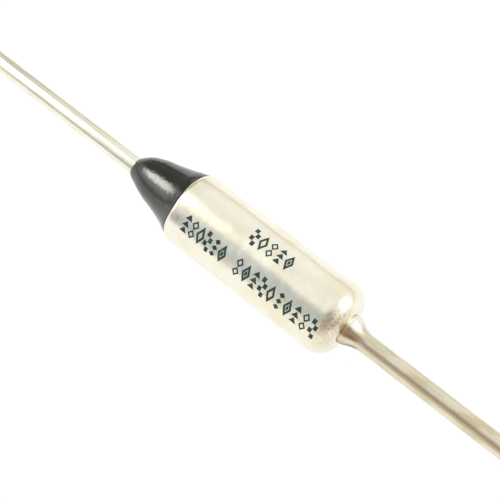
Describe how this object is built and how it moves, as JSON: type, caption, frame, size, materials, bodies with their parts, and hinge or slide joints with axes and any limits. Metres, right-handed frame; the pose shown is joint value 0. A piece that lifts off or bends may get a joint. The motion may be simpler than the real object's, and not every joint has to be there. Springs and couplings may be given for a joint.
{
  "type": "thermal fuse",
  "caption": "Axial-lead thermal fuse: round-ended silvered case with a flared lead at its closed end and a black epoxy seal round the other lead, with spring contact inside.",
  "frame": {"origin": "middle of the case, on its axis; both leads reach equally far beyond the case, so it is also the middle of the part's box", "axes": "+X along the leads, from the sealed end towards the closed end of the case; Y and Z square to it, and all radial directions are alike"},
  "size_m": [0.0804, 0.004, 0.004],
  "materials": {
    "silver_plate": "satin",
    "tinned_copper": "satin",
    "silvered_wire": "satin",
    "black_epoxy": "satin",
    "pellet_compound": "matte",
    "disc_steel": "satin",
    "spring_steel": "satin",
    "contact_silver": "satin",
    "alumina": "matte"
  },
  "bodies": {
    "root": {"case": "silver_plate", "case_lead": "tinned_copper", "isolated_lead": "silvered_wire", "epoxy_seal": "black_epoxy", "thermal_pellet": "pellet_compound", "pellet_disc": "disc_steel", "main_spring": "spring_steel", "contact_disc": "disc_steel", "star_contact": "contact_silver", "trip_spring": "spring_steel", "ceramic_bushing": "alumina"}
  },
  "joints": []
}
